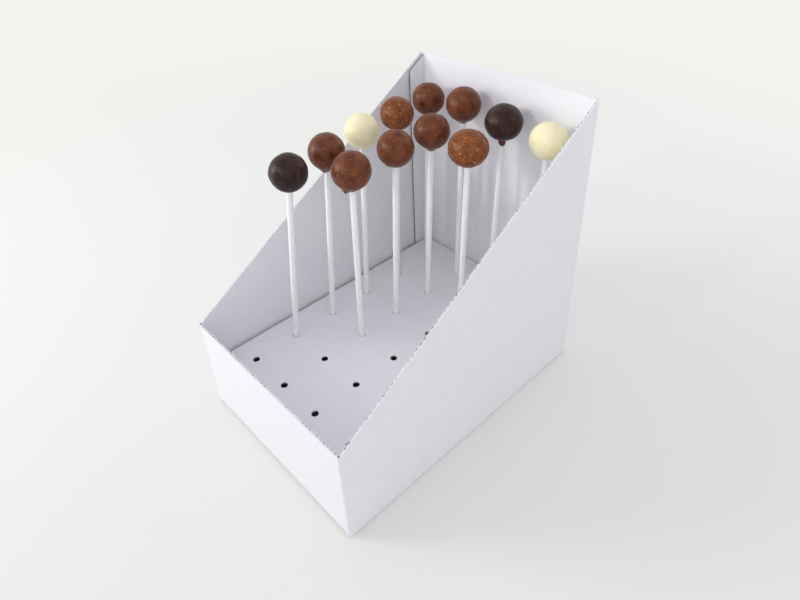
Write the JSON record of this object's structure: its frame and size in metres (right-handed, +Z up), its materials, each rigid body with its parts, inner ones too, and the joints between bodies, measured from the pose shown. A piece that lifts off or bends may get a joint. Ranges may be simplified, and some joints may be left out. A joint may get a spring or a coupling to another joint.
{
  "type": "cake pop box",
  "caption": "Open display box of folded white fluted board with a low front and high back; a raised insert with punched holes holds cake pops upright on paper sticks.",
  "frame": {"origin": "on the table, under the middle of the box's bottom", "axes": "+Z up, +Y from the low front wall to the high back wall, +X to the right as seen from the front"},
  "size_m": [0.155, 0.224, 0.213],
  "materials": {
    "box_board": "matte",
    "insert_board": "matte",
    "stick_paper": "matte",
    "dark_chocolate": "satin",
    "milk_chocolate": "satin",
    "nut_chocolate": "satin",
    "white_chocolate": "satin"
  },
  "bodies": {
    "root": {"display_box": "box_board", "holed_insert": "insert_board", "pop_01_dark": "dark_chocolate", "pop_02_milk": "milk_chocolate", "pop_03_milk": "milk_chocolate", "pop_04_white": "white_chocolate", "pop_05_milk": "milk_chocolate", "pop_06_nut": "nut_chocolate", "pop_07_milk": "milk_chocolate", "pop_08_nut": "nut_chocolate", "pop_09_milk": "milk_chocolate", "pop_10_milk": "milk_chocolate", "pop_11_dark": "dark_chocolate", "pop_12_white": "white_chocolate", "stick_01": "stick_paper", "stick_02": "stick_paper", "stick_03": "stick_paper", "stick_04": "stick_paper", "stick_05": "stick_paper", "stick_06": "stick_paper", "stick_07": "stick_paper", "stick_08": "stick_paper", "stick_09": "stick_paper", "stick_10": "stick_paper", "stick_11": "stick_paper", "stick_12": "stick_paper"}
  },
  "joints": []
}
